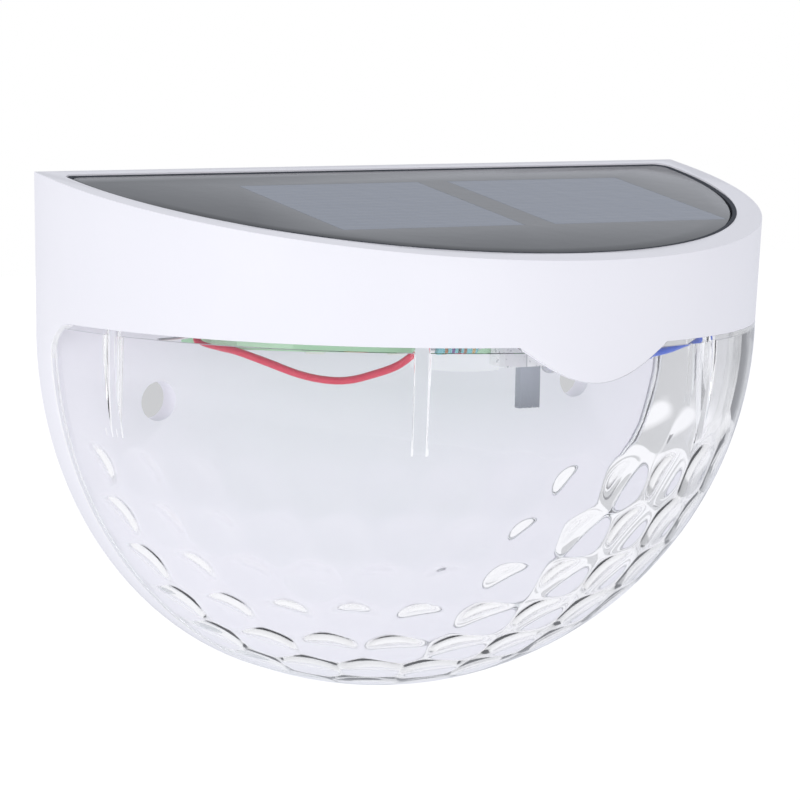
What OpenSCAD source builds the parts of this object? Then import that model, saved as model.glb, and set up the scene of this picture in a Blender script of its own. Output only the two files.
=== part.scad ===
// Solar wall sconce: a half-round lamp that pushes onto a plate screwed to the wall.
// Sizes in millimetres. X runs across the wall, Z is up, the wall is the plane Y = 0
// and the lamp stands out towards -Y. The origin lies midway between the two wall screws.

/* [Lamp shell] */
// Width of the lamp at the mouth of the hood, where the lens begins
mouth_w = 128; // [124:1:140]
// Height of the hood at the wall
hood_h = 24; // [23:0.5:32]
// Depth of the straight frame between the wall and the round shell
frame_t = 4.5; // [4:0.1:7]
// Forward slope of the top, in degrees
top_slope = 8.5; // [6:0.5:9.5]
// Draft of the hood's side wall, in degrees
hood_draft = 2; // [0.5:0.5:3]
// Wall thickness of the hood and its frame
hood_wall = 2; // [1.6:0.1:2.6]
// Thickness of the roof under the solar panel
roof_floor = 1.4; // [1:0.1:2]
// Radius of the corner between the hood's edge and the frame
corner_r = 6; // [3:0.5:9]
// How far the front tongue hangs below the hood's edge
tongue_drop = 6; // [3:0.5:9]
// Width of the front tongue where it leaves the hood's edge
tongue_w = 29; // [20:1:36]
// Thickness of the front tongue
tongue_t = 1.2; // [0.8:0.1:1.4]

/* [Solar panel] */
// Width of the hood's rim beside the panel
rim_side = 3.6; // [3:0.1:6]
// Width of the hood's rim in front of the panel
rim_front = 5.1; // [3.5:0.1:8]
// Width of the hood's rim behind the panel
rim_back = 2.4; // [1.5:0.1:5]
// Thickness of the solar laminate
laminate_t = 2; // [1.4:0.1:2.6]
// Thickness of the foam tape under the laminate
tape_t = 0.8; // [0.5:0.1:1.2]
// How far the laminate sits below the rim
laminate_sink = 0.3; // [0:0.1:0.6]
// Width of the dark sealant round the laminate
seal_w = 0.7; // [0.4:0.1:1.5]
// Width of one solar cell
cell_w = 35.5; // [25:0.5:40]
// Depth of one solar cell, down the slope
cell_d = 32; // [20:0.5:36]
// Gap between the two cells
cell_gap = 6; // [2:0.5:9]
// Distance from the wall to the cells, down the slope
cell_back = 12; // [9:0.5:16]
// Distance from the side of the lamp to the right-hand cell
cell_side = 20; // [17:0.5:26]
// Thickness of a cell
cell_t = 0.4; // [0.3:0.1:0.8]

/* [Lens] */
// Wall thickness of the lens
lens_t = 2.2; // [1.8:0.1:3]
// Width of a rib on the inside of the lens
rib_w = 2.4; // [1.6:0.1:3.5]
// How far a rib stands in from the lens wall
rib_depth = 2.2; // [1.2:0.1:2.6]
// Height of a rib below the hood's edge
rib_h = 18; // [12:0.5:20]
// Bearing of the inner pair of ribs, in degrees from straight ahead
rib_inner_angle = 27; // [20:1:35]
// Bearing of the outer pair of ribs, in degrees from straight ahead
rib_outer_angle = 77; // [65:1:79]
// Height of the lip that reaches up inside the hood
lip_h = 3.5; // [2:0.5:5]
// Thickness of that lip
lip_t = 1.5; // [1:0.1:2]
// Diameter of a dimple on the inside of the lens
dimple_d = 9.2; // [6:0.2:9.6]
// How far the middle of a dimple swells in from the lens wall
dimple_rise = 0.55; // [0.4:0.05:0.8]
// Distance between two dimples in a row
dimple_pitch = 10.6; // [10:0.2:14]
// Angle between two rows of dimples, in degrees
dimple_step = 8.7; // [8.7:0.1:12]
// How far the first row lies below the hood's edge, in degrees
dimple_first = 22; // [22:0.5:30]

/* [Wall plate] */
// Distance between the two wall screws
screw_spacing = 85; // [60:1:96]
// Diameter of the screw holes
screw_hole_d = 6.5; // [4:0.1:7.5]
// Outside diameter of the boss round a screw hole
screw_boss_d = 12; // [10:0.5:16]
// Depth of the screws below the hood's edge
screw_drop = 14; // [10:0.5:20]
// Depth of the wall plate's rim
plate_depth = 4; // [3:0.1:4]
// Thickness of the wall plate's face
plate_t = 2; // [1.6:0.1:2.6]
// Thickness of the wall plate's rim
plate_rim = 1.6; // [1.2:0.1:2.4]
// Gap between the wall plate and the frame round it
plate_gap = 0.35; // [0.25:0.05:0.6]
// Gap left at the grip ribs that hold the lamp on its plate
grip_gap = 0.1; // [0.05:0.01:0.15]

/* [Circuit board] */
// Radius of the board's round front
board_r = 62; // [58:1:72]
// Distance from the wall to the board's front edge
board_front = 46.4; // [45:0.2:47]
// Width of the board between its cut sides
board_w = 86; // [74:1:88]
// Distance from the wall to the board's back edge
board_back = 12; // [11:0.5:13]
// Thickness of the board
board_t = 1.6; // [1:0.1:2]
// How far the board's underside hangs below the hood's edge
board_drop = 3; // [2:0.1:4]
// Distance between the two board screws
board_screw_spacing = 62; // [54:1:66]
// Diameter of the bosses that carry the board
board_boss_d = 6; // [5:0.1:7]
// Diameter of the board screws
board_screw_d = 2.2; // [2:0.1:2.6]
// Side of a light-emitting diode across the board
led_w = 3.5; // [2.8:0.1:4]
// Side of a light-emitting diode along its radius
led_d = 2.8; // [2.4:0.1:3.5]
// Height of a light-emitting diode
led_h = 0.8; // [0.6:0.1:1.5]
// Distance from the board's front edge to the arc of diodes
led_inset = 5; // [3.5:0.5:7]
// Number of diodes
led_count = 6; // [6:1:6]
// Bearing between two diodes, in degrees
led_step = 13; // [10:0.5:14]

/* [Electrical parts] */
// Diameter of the battery
battery_d = 14.2; // [10:0.1:14.5]
// Length of the battery's wrapped body
battery_l = 48; // [40:0.5:50]
// Distance from the wall to the battery's axis
battery_y = 24; // [22:0.5:25]
// Thickness of the foam strip under the battery
battery_tape_t = 1; // [0.6:0.1:1.2]
// Length of the slide switch
switch_l = 8.4; // [8.4:0.1:9]
// Width of the slide switch
switch_w = 4.2; // [4:0.1:5.5]
// Height of the slide switch
switch_h = 4.5; // [4:0.1:5.5]
// Wall thickness of the slide switch
switch_wall = 0.7; // [0.5:0.1:0.8]
// Length of the switch lever's tip along its travel
lever_l = 3.9; // [3:0.1:5]
// Thickness of the switch lever's tip
lever_t = 1.5; // [1.3:0.1:2.4]
// Height of the switch lever's tip
lever_h = 6.6; // [4:0.1:8]
// Travel of the switch lever
lever_travel = 4; // [3:0.1:4]
// Running gap round the switch lever
lever_gap = 0.15; // [0.1:0.05:0.15]
// Diameter of the resistor's body
resistor_d = 2.4; // [1.8:0.1:3]
// Length of the resistor's body
resistor_l = 7.8; // [6:0.1:8]
// Diameter of the insulated wires
wire_d = 1.2; // [0.8:0.1:1.4]

/* [Hidden] */
$fn = 96;

lens_r = mouth_w / 2;                    // radius of the round shell at the mouth
axis_y = -frame_t;                       // the shell's upright axis stands here
mouth_z = screw_drop;                    // height of the hood's lower edge
top_z = mouth_z + hood_h;                // height of the top at the wall
reach = 2 * mouth_w;                     // larger than anything, for cutting solids
seam = 0.1;                              // glue line between lens and hood
foot = 0.04;                             // how far a dimple's foot spreads within the lens wall

panel_depth = laminate_t + tape_t + laminate_sink;
roof_t = panel_depth + roof_floor;
front_z = top_z - (frame_t + lens_r) * tan(top_slope);
front_v = (frame_t + shell_r(front_z)) / cos(top_slope);
pocket_r = shell_r(top_z) - rim_side;    // round front of the panel's pocket
pocket_v = front_v - rim_front - pocket_r;
pocket_corner = 2.5;
cell_v = cell_back + cell_d / 2;
cell_x = lens_r - cell_side - cell_w - cell_gap / 2;    // middle of the pair of cells

lip_gap = 0.15;                          // lip of the lens inside the hood
lip_below = 1;                           // the lip starts this far below the mouth

plate_r = lens_r - hood_wall - plate_gap;
plate_top = top_z - roof_t / cos(top_slope) - plate_depth * tan(top_slope) - plate_gap;

board_top = mouth_z - board_drop + board_t;
board_under = mouth_z - board_drop;
board_axis_y = board_r - board_front;    // centre of the board's round front
board_screw_y = -board_back - board_boss_d / 2 + 0.5;
front_post_y = -38;
front_post_x = 16;
screw_head_d = 4.4;
screw_head_h = 1.2;
thread_bite = 0.1;                       // radial clearance of a screw in its pilot hole

battery_z = board_top + battery_tape_t + battery_d / 2;
button_d = 5.5;
button_l = 1.2;
tab_w = 5;
tab_t = 0.3;
contact_gap = 0.1;                       // between a wire's end and what it is soldered to

switch_x = -2.1;                         // middle of the switch
switch_y = -board_front - seam - switch_w / 2;
switch_z = mouth_z - 5.2;                // underside of the switch
lever_neck_l = 2;
lever_neck_t = 1.2;
carriage_l = lever_neck_l + 0.8;
carriage_h = 1.8;
terminal_w = 0.6;
terminal_t = 0.4;
terminal_l = 3;
terminal_pitch = 2.2;

resistor_x = -13.6;
resistor_y = -board_front - 1;
resistor_z = mouth_z - 1.85;
lead_d = 0.6;
lead_reach = resistor_l / 2 + 1.2;
blob_r = 0.7;                            // solder where the red lead meets the resistor
blob_l = 1.2;
joint_h = 0.8;                           // height of a solder joint
joint_d = 2.2;

wire_hole_y = -42;
panel_under_z = top_z + wire_hole_y * tan(top_slope)
    - (laminate_sink + laminate_t) / cos(top_slope) - contact_gap;

lead_joint = [2.8 - board_w / 2, -18.8];   // solder joints on the board: X and Y
panel_joint = [-9, 6.4 - board_front];
battery_end = battery_l / 2 + tab_t + contact_gap;
red_joint = [battery_end + button_l + 4, -battery_y - 4];
black_joint = [-battery_end - 5.2, -battery_y - 4];
wire_foot = board_top + joint_h + contact_gap;          // lower end of a wire above its joint

// Wire routes, in millimetres, from end to end. Each is given from the edges it passes.
tab_z = battery_z - battery_d / 2 + 2.8;
left = -board_w / 2;
right = lens_r - 26;
front = -board_front;
red_lead_route = [
    [left + 1.6, lead_joint[1], board_top + 0.7], [left - 0.2, lead_joint[1] - 0.2, board_top + 0.8],
    [left - 1.8, lead_joint[1] - 1, board_top + 0.1], [left - 2.3, lead_joint[1] - 3, 11.6],
    [left - 1.5, -26, 11.1], [left - 0.7, -30, 10.8], [left + 2.8, -33.5, 9.4], [left + 7, -36, 7.9],
    [left + 11.9, -39, 7], [-28.8, -40.5, 6.8], [-25.7, -42.5, 8], [-22.6, -45, 9.5],
    [-21.2, resistor_y + 0.5, resistor_z - 0.9], [-20.2, resistor_y, resistor_z],
    [-19.4, resistor_y, resistor_z]
];
panel_red_route = [
    [4, wire_hole_y, panel_under_z], [4, wire_hole_y, panel_under_z - 2.2],
    [0, wire_hole_y + 0.5, 23], [-6, panel_joint[1], 18], [panel_joint[0], panel_joint[1], 15.5],
    [panel_joint[0], panel_joint[1], wire_foot]
];
panel_blue_route = [
    [9, wire_hole_y, panel_under_z], [9, wire_hole_y, panel_under_z - 1.8],
    [11.5, wire_hole_y - 1, 25.4], [right - 18, front + 0.9, 23.6], [right - 8, front - 0.1, 20],
    [right - 1.5, front + 0.9, 15.5], [right, front + 2.2, 12], [right - 1.4, front + 2.4, 10.8],
    [right - 3.8, front + 2, 10.2], [right - 6.5, front + 1.6, 9.6], [right - 9.5, front + 1.2, 9.2],
    [right - 13, front + 0.8, 9], [right - 19.8, front - 0.1, 8.4], [10.3, front - 1.2, 8],
    [6.5, front - 1.7, 8], [4.3, switch_y, 8.3], [3.3, switch_y, 9.4]
];
battery_red_route = [
    [battery_end + button_l, -battery_y, tab_z], [battery_end + button_l + 1.6, -battery_y, tab_z],
    [battery_end + button_l + 3.2, -battery_y - 1, tab_z - 0.4],
    [red_joint[0], red_joint[1] + 0.7, tab_z - 1], [red_joint[0], red_joint[1], wire_foot + 1.1],
    [red_joint[0], red_joint[1], wire_foot + 0.5], [red_joint[0], red_joint[1], wire_foot]
];
battery_black_route = [
    [-battery_end, -battery_y, tab_z], [-battery_end - 2, -battery_y, tab_z],
    [-battery_end - 4.2, -battery_y - 1, tab_z - 0.4],
    [black_joint[0], black_joint[1] + 0.7, tab_z - 1], [black_joint[0], black_joint[1], wire_foot + 1.1],
    [black_joint[0], black_joint[1], wire_foot + 0.5], [black_joint[0], black_joint[1], wire_foot]
];

// Radius of the hood's outside at height z.
function shell_r(z) = lens_r + (z - mouth_z) * tan(hood_draft);

// Point on a smooth curve through four points, t from 0 to 1 between the middle two.
function blend(a, b, c, d, t) =
    0.5 * ((2 * b) + (c - a) * t + (2 * a - 5 * b + 4 * c - d) * t * t
    + (3 * b - a - 3 * c + d) * t * t * t);
function point(route, i) = route[max(0, min(len(route) - 1, i))];
function smooth(route, steps) = concat(
    [for (i = [0 : len(route) - 2]) for (s = [0 : steps - 1])
        blend(point(route, i - 1), point(route, i), point(route, i + 1), point(route, i + 2), s / steps)],
    [point(route, len(route) - 1)]
);
function unit(v) = v / norm(v);
function heading(p, i) = unit(p[min(len(p) - 1, i + 1)] - p[max(0, i - 1)]);
function side_step(p, i, side) = unit(side - (side * heading(p, i)) * heading(p, i));
function sides(p, i, side) = i == len(p) ? [] :
    concat([side_step(p, i, side)], sides(p, i + 1, side_step(p, i, side)));

// A wire of eight sides swept along a route.
module wire(route, d) {
    steps = 3;
    p = smooth(route, steps);
    across = sides(p, 0, unit(cross(heading(p, 0), [0.3, 1, 0.2])));
    n = len(p);
    points = [for (i = [0 : n - 1]) for (k = [0 : 7])
        p[i] + d / 2 * (cos(45 * k) * across[i] + sin(45 * k) * cross(heading(p, i), across[i]))];
    walls = [for (i = [0 : n - 2]) for (k = [0 : 7]) each [
        [8 * i + k, 8 * (i + 1) + k, 8 * (i + 1) + (k + 1) % 8],
        [8 * i + k, 8 * (i + 1) + (k + 1) % 8, 8 * i + (k + 1) % 8]
    ]];
    ends = [[for (k = [0 : 7]) k], [for (k = [7 : -1 : 0]) 8 * (n - 1) + k]];
    polyhedron(points = points, faces = concat(walls, ends));
}

// The shell's solid between two heights, drawn in by inset all round.
module shell_solid(inset, z_low, z_high, back) {
    intersection() {
        translate([0, axis_y, z_low])
            cylinder(h = z_high - z_low, r1 = shell_r(z_low) - inset, r2 = shell_r(z_high) - inset);
        translate([-reach, axis_y - reach, z_low - 1])
            cube([2 * reach, reach, z_high - z_low + 2]);
    }
    translate([0, back, 0])
        rotate([90, 0, 0])
            linear_extrude(height = frame_t + back)
                polygon([
                    [inset - shell_r(z_low), z_low], [shell_r(z_low) - inset, z_low],
                    [shell_r(z_high) - inset, z_high], [inset - shell_r(z_high), z_high]
                ]);
}

// Everything above the sloping top, or above a plane parallel to it at a depth.
module above_top(depth) {
    translate([0, 0, top_z])
        rotate([top_slope, 0, 0])
            translate([-reach, -reach, -depth])
                cube([2 * reach, 2 * reach, reach]);
}

// Lays a shape out on the sloping top, its Z at a depth below the surface.
module on_top(depth) {
    translate([0, 0, top_z])
        rotate([top_slope, 0, 0])
            translate([0, 0, -depth])
                children();
}

// D-shaped outline of the panel's pocket, drawn in by inset.
module panel_outline(inset) {
    r = pocket_r - inset;
    back = rim_back + inset;
    half = sqrt(r * r - (pocket_v - back) * (pocket_v - back));
    c = pocket_corner;
    intersection() {
        translate([0, -pocket_v])
            circle(r = r);
        union() {
            translate([-r - 1, -pocket_v - r - 1])
                square([2 * r + 2, r + 1 + pocket_v - back - c]);
            translate([c - half, -back - c - 1])
                square([2 * (half - c), c + 1]);
            for (side = [-1, 1])
                translate([side * (half - c), -back - c])
                    circle(r = c);
        }
    }
}

// Outline of the lamp's back below and above the mouth, drawn in by inset, up to a height.
module back_outline(inset, z_high) {
    intersection() {
        translate([0, mouth_z])
            circle(r = lens_r - inset);
        translate([-reach, mouth_z - reach])
            square([2 * reach, reach]);
    }
    polygon([
        [inset - lens_r, mouth_z], [lens_r - inset, mouth_z],
        [shell_r(z_high) - inset, z_high], [inset - shell_r(z_high), z_high]
    ]);
}

// Extrudes an outline of the back from the wall side to the front, both as depths.
module from_wall(near, far) {
    translate([0, -near, 0])
        rotate([90, 0, 0])
            linear_extrude(height = far - near)
                children();
}

// The round shell below the mouth between two radii.
module bowl(outer, inner) {
    intersection() {
        difference() {
            translate([0, axis_y, mouth_z])
                sphere(r = outer, $fn = 192);
            translate([0, axis_y, mouth_z])
                sphere(r = inner, $fn = 192);
        }
        translate([-reach, axis_y - reach, mouth_z - reach])
            cube([2 * reach, reach, reach]);
    }
}

// Rounded corner between the hood's edge and the frame, as a bar across the lamp.
module corner_bar(grow) {
    translate([-reach, 0, 0])
        rotate([90, 0, 90])
            linear_extrude(height = 2 * reach)
                difference() {
                    translate([axis_y - corner_r, mouth_z - corner_r])
                        square([corner_r, corner_r]);
                    translate([axis_y - corner_r, mouth_z - corner_r])
                        circle(r = corner_r - grow);
                }
}

// Half-cosine outline of the front tongue.
module tongue_outline(grow, rise) {
    half = tongue_w / 2 + grow;
    steps = 24;
    polygon(concat(
        [[half, mouth_z + rise]], [[-half, mouth_z + rise]],
        [for (i = [0 : steps])
            let (x = -half + 2 * half * i / steps)
            [x, mouth_z - (tongue_drop + grow) * cos(90 * x / half)]]
    ));
}

module tongue_block(grow, rise) {
    translate([0, axis_y - lens_r / 2, 0])
        rotate([90, 0, 0])
            linear_extrude(height = lens_r)
                tongue_outline(grow, rise);
}

module board_posts(r, z_low, z_high) {
    for (side = [-1, 1]) {
        translate([side * board_screw_spacing / 2, board_screw_y, z_low])
            cylinder(h = z_high - z_low, r = r, $fn = 48);
        translate([side * front_post_x, front_post_y, z_low])
            cylinder(h = z_high - z_low, r = r * 0.7, $fn = 48);
    }
}

module hood() {
    color("white")
    difference() {
        union() {
            difference() {
                shell_solid(0, mouth_z, top_z, 0);
                difference() {
                    shell_solid(hood_wall, mouth_z - 1, top_z, 1);
                    above_top(roof_t);
                }
            }
            difference() {
                from_wall(0, frame_t)
                    difference() {
                        back_outline(0, mouth_z + 1);
                        back_outline(hood_wall, mouth_z + 2);
                    }
            }
            intersection() {
                bowl(lens_r, lens_r - hood_wall);
                corner_bar(0);
            }
            intersection() {
                difference() {
                    translate([0, axis_y, mouth_z])
                        sphere(r = lens_r);
                    translate([0, axis_y, mouth_z])
                        sphere(r = lens_r - tongue_t);
                }
                tongue_block(0, tongue_t);
            }
            difference() {
                board_posts(board_boss_d / 2, board_top, top_z);
                above_top(roof_t - roof_floor / 2);
            }
        }
        above_top(0);
        on_top(panel_depth)
            linear_extrude(height = reach)
                panel_outline(0);
        wire_hole();
        for (side = [-1, 1])
            translate([side * board_screw_spacing / 2, board_screw_y, board_top - 1])
                cylinder(h = 9, r = board_screw_d / 2 + thread_bite, $fn = 32);
    }
}

// Hole in the roof that the panel's two wires pass through.
module wire_hole() {
    translate([6.5, wire_hole_y, mouth_z])
        cylinder(h = hood_h, r = 5, $fn = 48);
}

module lens() {
    color([0.86, 0.9, 0.94, 0.4])
    difference() {
        union() {
            bowl(lens_r, lens_r - lens_t);
            lens_lip();
            for (angle = [-rib_outer_angle, -rib_inner_angle, rib_inner_angle, rib_outer_angle])
                lens_rib(angle);
            lens_dimples();
        }
        corner_bar(seam);
        difference() {
            tongue_block(seam, reach);
            translate([0, axis_y, mouth_z])
                sphere(r = lens_r - tongue_t - seam);
            translate([0, axis_y, mouth_z])
                cylinder(h = 2 * lip_h, r = lens_r - hood_wall - lip_gap);
        }
    }
}

// Half ring that centres the lens inside the hood.
module lens_lip() {
    outer = lens_r - hood_wall - lip_gap;
    intersection() {
        translate([0, axis_y, mouth_z - lip_below])
            difference() {
                cylinder(h = lip_h + lip_below, r = outer);
                translate([0, 0, -1])
                    cylinder(h = lip_h + lip_below + 2, r = outer - lip_t);
            }
        translate([-reach, axis_y - reach - corner_r - 1, 0])
            cube([2 * reach, reach, reach]);
    }
}

module lens_rib(angle) {
    inner = lens_r - lens_t - rib_depth;
    intersection() {
        translate([0, axis_y, mouth_z])
            rotate([0, 0, angle])
                translate([-rib_w / 2, -lens_r, -rib_h])
                    cube([rib_w, lens_r - inner, rib_h + lip_h]);
        union() {
            translate([0, axis_y, mouth_z])
                sphere(r = lens_r - lens_t / 2);
            translate([0, axis_y, mouth_z])
                cylinder(h = lip_h, r = lens_r - hood_wall - lip_gap);
        }
        translate([0, axis_y, mouth_z - rib_h])
            cylinder(h = rib_h + lip_h, r = lens_r - hood_wall - lip_gap);
    }
}

// Low round caps that swell from the inside of the lens, in level rows. Each has a short round
// foot within the lens wall.
module lens_dimples() {
    inner = lens_r - lens_t;
    half = dimple_d / 2;
    cap_h = dimple_rise + sqrt(inner * inner - half * half) - inner;
    cap_r = (half * half + cap_h * cap_h) / (2 * cap_h);
    margin = half + 0.9;
    for (down = [dimple_first : dimple_step : 84]) {
        row_r = inner * cos(down);
        edge = acos(margin / row_r);
        gaps = max(1, round(2 * edge * PI / 180 * row_r / dimple_pitch));
        for (i = [0 : gaps])
            translate([0, axis_y, mouth_z])
                rotate([0, 0, edge * (2 * i / gaps - 1)])
                    rotate([down, 0, 0])
                        intersection() {
                            translate([0, dimple_rise - inner - cap_r, 0])
                                sphere(r = cap_r, $fn = 192);
                            translate([0, 1 - inner, 0])
                                rotate([90, 0, 0])
                                    cylinder(h = 1 + lens_t / 2, r = half + foot);
                        }
    }
}

module wall_plate() {
    color("whitesmoke")
    difference() {
        union() {
            from_wall(plate_depth - plate_t, plate_depth)
                back_outline(hood_wall + plate_gap, plate_top);
            from_wall(0, plate_depth)
                difference() {
                    back_outline(hood_wall + plate_gap, plate_top);
                    back_outline(hood_wall + plate_gap + plate_rim, plate_top - plate_rim);
                }
            for (side = [-1, 1])
                translate([side * screw_spacing / 2, 0, 0])
                    rotate([90, 0, 0])
                        cylinder(h = plate_depth, r = screw_boss_d / 2);
            plate_webs();
            grip_ribs();
        }
        for (side = [-1, 1])
            translate([side * screw_spacing / 2, 1, 0])
                rotate([90, 0, 0])
                    cylinder(h = plate_depth + 2, r = screw_hole_d / 2);
    }
}

// Stiffening webs on the back of the wall plate.
module plate_webs() {
    web_t = 1.2;
    web_depth = plate_depth - 0.5;
    inner = screw_spacing / 2 - screw_boss_d / 2 + 0.5;
    translate([-inner, -plate_depth, -web_t / 2])
        cube([2 * inner, web_depth, web_t]);
    translate([-web_t / 2, -plate_depth, mouth_z - plate_r + plate_rim / 2])
        cube([web_t, web_depth, plate_r - mouth_z + plate_top - plate_rim]);
}

// Small ribs on the plate's rim that grip the lamp's frame.
module grip_ribs() {
    rib_r = 1;
    stand = plate_gap - grip_gap;
    for (angle = [-150, -110, -70, -30])
        translate([0, -plate_depth / 2, mouth_z])
            rotate([0, -angle, 0])
                translate([plate_r + stand - rib_r, plate_depth / 2, 0])
                    rotate([90, 0, 0])
                        cylinder(h = plate_depth, r = rib_r, $fn = 32);
}

module solar_laminate() {
    color("dimgray")
    on_top(laminate_sink + laminate_t)
        difference() {
            linear_extrude(height = laminate_t)
                panel_outline(seal_w);
            for (side = [-1, 1])
                translate([0, 0, laminate_t - cell_t])
                    linear_extrude(height = 1)
                        cell_outline(side, 0);
        }
}

// Outline of one cell on the sloping top. It keeps clear of the sealant.
module cell_outline(side, gap) {
    intersection() {
        translate([cell_x + side * (cell_gap + cell_w) / 2, -cell_v])
            square([cell_w - 2 * gap, cell_d - 2 * gap], center = true);
        panel_outline(seal_w + 0.3 + gap);
    }
}

module solar_cell(side) {
    cell_fit = 0.05;
    color("slategray")
    on_top(laminate_sink + cell_t)
        linear_extrude(height = cell_t)
            cell_outline(side, cell_fit);
}

module panel_seal() {
    color("black")
    on_top(laminate_sink + laminate_t)
        linear_extrude(height = laminate_t)
            difference() {
                panel_outline(0);
                panel_outline(seal_w);
            }
}

module panel_tape() {
    tape_w = 6;
    color("darkslategray")
    on_top(panel_depth)
        linear_extrude(height = tape_t)
            difference() {
                panel_outline(seal_w);
                panel_outline(seal_w + tape_w);
            }
}

module led_board() {
    color([0.65, 0.82, 0.67])
    difference() {
        translate([0, 0, board_under])
            linear_extrude(height = board_t)
                intersection() {
                    translate([0, board_axis_y])
                        circle(r = board_r);
                    translate([-board_w / 2, -reach])
                        square([board_w, reach - board_back]);
                }
        for (side = [-1, 1])
            translate([side * board_screw_spacing / 2, board_screw_y, board_under - 1])
                cylinder(h = board_t + 2, r = board_screw_d / 2 + 0.2, $fn = 32);
    }
}

// A diode's place is given by its number, counted from the left.
module led(number) {
    bearing = (number - (led_count + 1) / 2) * led_step;
    color("lightyellow")
    translate([0, board_axis_y, board_under - led_h])
        rotate([0, 0, bearing])
            translate([-led_w / 2, led_inset - board_r - led_d / 2, 0])
                cube([led_w, led_d, led_h]);
}

module resistor() {
    end_l = resistor_l * 0.24;
    lead_z = board_top + lead_d / 2 + 0.05;
    body_end = resistor_x + resistor_l / 2;
    far_x = resistor_x + lead_reach;
    color("teal")
    translate([resistor_x, resistor_y, resistor_z])
        rotate([0, 90, 0])
            rotate_extrude($fn = 48)
                polygon([
                    [0, -resistor_l / 2], [resistor_d * 0.3, -resistor_l / 2],
                    [resistor_d / 2, -resistor_l / 2 + 0.5], [resistor_d / 2, -resistor_l / 2 + end_l],
                    [resistor_d * 0.42, -resistor_l / 2 + end_l + 0.4],
                    [resistor_d * 0.42, resistor_l / 2 - end_l - 0.4],
                    [resistor_d / 2, resistor_l / 2 - end_l], [resistor_d / 2, resistor_l / 2 - 0.5],
                    [resistor_d * 0.3, resistor_l / 2], [0, resistor_l / 2]
                ]);
    color("silver") {
        translate([resistor_x - lead_reach - blob_l / 2, resistor_y, resistor_z])
            rotate([0, 90, 0])
                cylinder(h = blob_l, r = blob_r, $fn = 32);
        translate([resistor_x - lead_reach, resistor_y, resistor_z])
            rotate([0, 90, 0])
                cylinder(h = lead_reach - resistor_l / 2 + 0.3, r = lead_d / 2, $fn = 24);
        wire([
            [body_end - 0.4, resistor_y, resistor_z], [body_end + 0.6, resistor_y, resistor_z],
            [far_x, resistor_y + 0.3, resistor_z + 0.3], [far_x, resistor_y + 0.6, lead_z],
            [far_x, -board_front + 2.4, lead_z]
        ], lead_d);
    }
}

module driver_chip() {
    chip = [4.1, 1.6, 3.2];
    translate([-2, 4.9 - board_front, board_top]) {
        color("black")
        translate([0, 0, 1.4])
            cube(chip);
        color("silver")
        for (i = [0 : 3])
            translate([0.35 + i * 1.0, 0.6, 0])
                cube([0.4, 0.4, 1.6]);
    }
}

module inductor() {
    color("olive")
    translate([-24, -34.5, board_top]) {
        cylinder(h = 1, r = 3, $fn = 48);
        translate([0, 0, 1])
            cylinder(h = 3, r = 2, $fn = 48);
        translate([0, 0, 4])
            cylinder(h = 1, r = 3, $fn = 48);
    }
}

module switch_body() {
    slot_l = lever_neck_l + lever_travel + 2 * lever_gap;
    slot_t = lever_neck_t + 2 * lever_gap;
    color("lightgray")
    translate([switch_x, switch_y, switch_z])
        difference() {
            translate([-switch_l / 2, -switch_w / 2, 0])
                cube([switch_l, switch_w, switch_h]);
            translate([switch_wall - switch_l / 2, switch_wall - switch_w / 2, switch_wall])
                cube([switch_l - 2 * switch_wall, switch_w - 2 * switch_wall, switch_h - 2 * switch_wall]);
            translate([-slot_l / 2, -slot_t / 2, -1])
                cube([slot_l, slot_t, switch_wall + 2]);
        }
}

// Flat pins from the back of the switch onto the board.
module switch_terminals() {
    color("silver")
    for (i = [-1 : 1])
        translate([switch_x + i * terminal_pitch - terminal_w / 2, switch_y + switch_w / 2, board_top])
            cube([terminal_w, terminal_l, terminal_t]);
}

module switch_lever() {
    color("dimgray")
    translate([switch_x + lever_travel / 2, switch_y, switch_z]) {
        translate([-carriage_l / 2, lever_gap + switch_wall - switch_w / 2, switch_wall + lever_gap])
            cube([carriage_l, switch_w - 2 * switch_wall - 2 * lever_gap, carriage_h]);
        translate([-lever_neck_l / 2, -lever_neck_t / 2, -lever_gap - 0.5])
            cube([lever_neck_l, lever_neck_t, switch_wall + 2 * lever_gap + 1]);
        translate([-lever_l / 2, -lever_t / 2, -lever_gap - lever_h])
            cube([lever_l, lever_t, lever_h]);
    }
}

module battery() {
    color("limegreen")
    translate([-battery_l / 2, -battery_y, battery_z])
        rotate([0, 90, 0])
            cylinder(h = battery_l, r = battery_d / 2);
}

module battery_button() {
    color("silver")
    translate([battery_l / 2, -battery_y, battery_z])
        rotate([0, 90, 0])
            cylinder(h = button_l, r = button_d / 2, $fn = 48);
}

// Nickel strips welded to the battery's two ends.
module battery_tabs() {
    color("gainsboro") {
        translate([battery_l / 2 + button_l, -battery_y - tab_w / 2, battery_z - battery_d / 2 + 1])
            cube([tab_t, tab_w, battery_d / 2 + button_d / 2 - 1]);
        translate([-battery_l / 2 - tab_t, -battery_y - tab_w / 2, battery_z - battery_d / 2 + 1])
            cube([tab_t, tab_w, battery_d / 2 + button_d / 2 - 1]);
    }
}

module battery_tape() {
    tape_end = battery_l / 12;               // bare length at each end
    battery_tape_w = 0.56 * battery_d;
    color("darkgray")
    translate([-battery_l / 2 + tape_end, -battery_y - battery_tape_w / 2, board_top])
        cube([battery_l - 2 * tape_end, battery_tape_w, battery_tape_t]);
}

module board_screws() {
    color("silver")
    for (side = [-1, 1])
        translate([side * board_screw_spacing / 2, board_screw_y, 0]) {
            translate([0, 0, board_under - screw_head_h])
                cylinder(h = screw_head_h, r = screw_head_d / 2, $fn = 48);
            translate([0, 0, board_under - 0.1])
                cylinder(h = board_t + 6, r = board_screw_d / 2, $fn = 32);
        }
}

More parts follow.
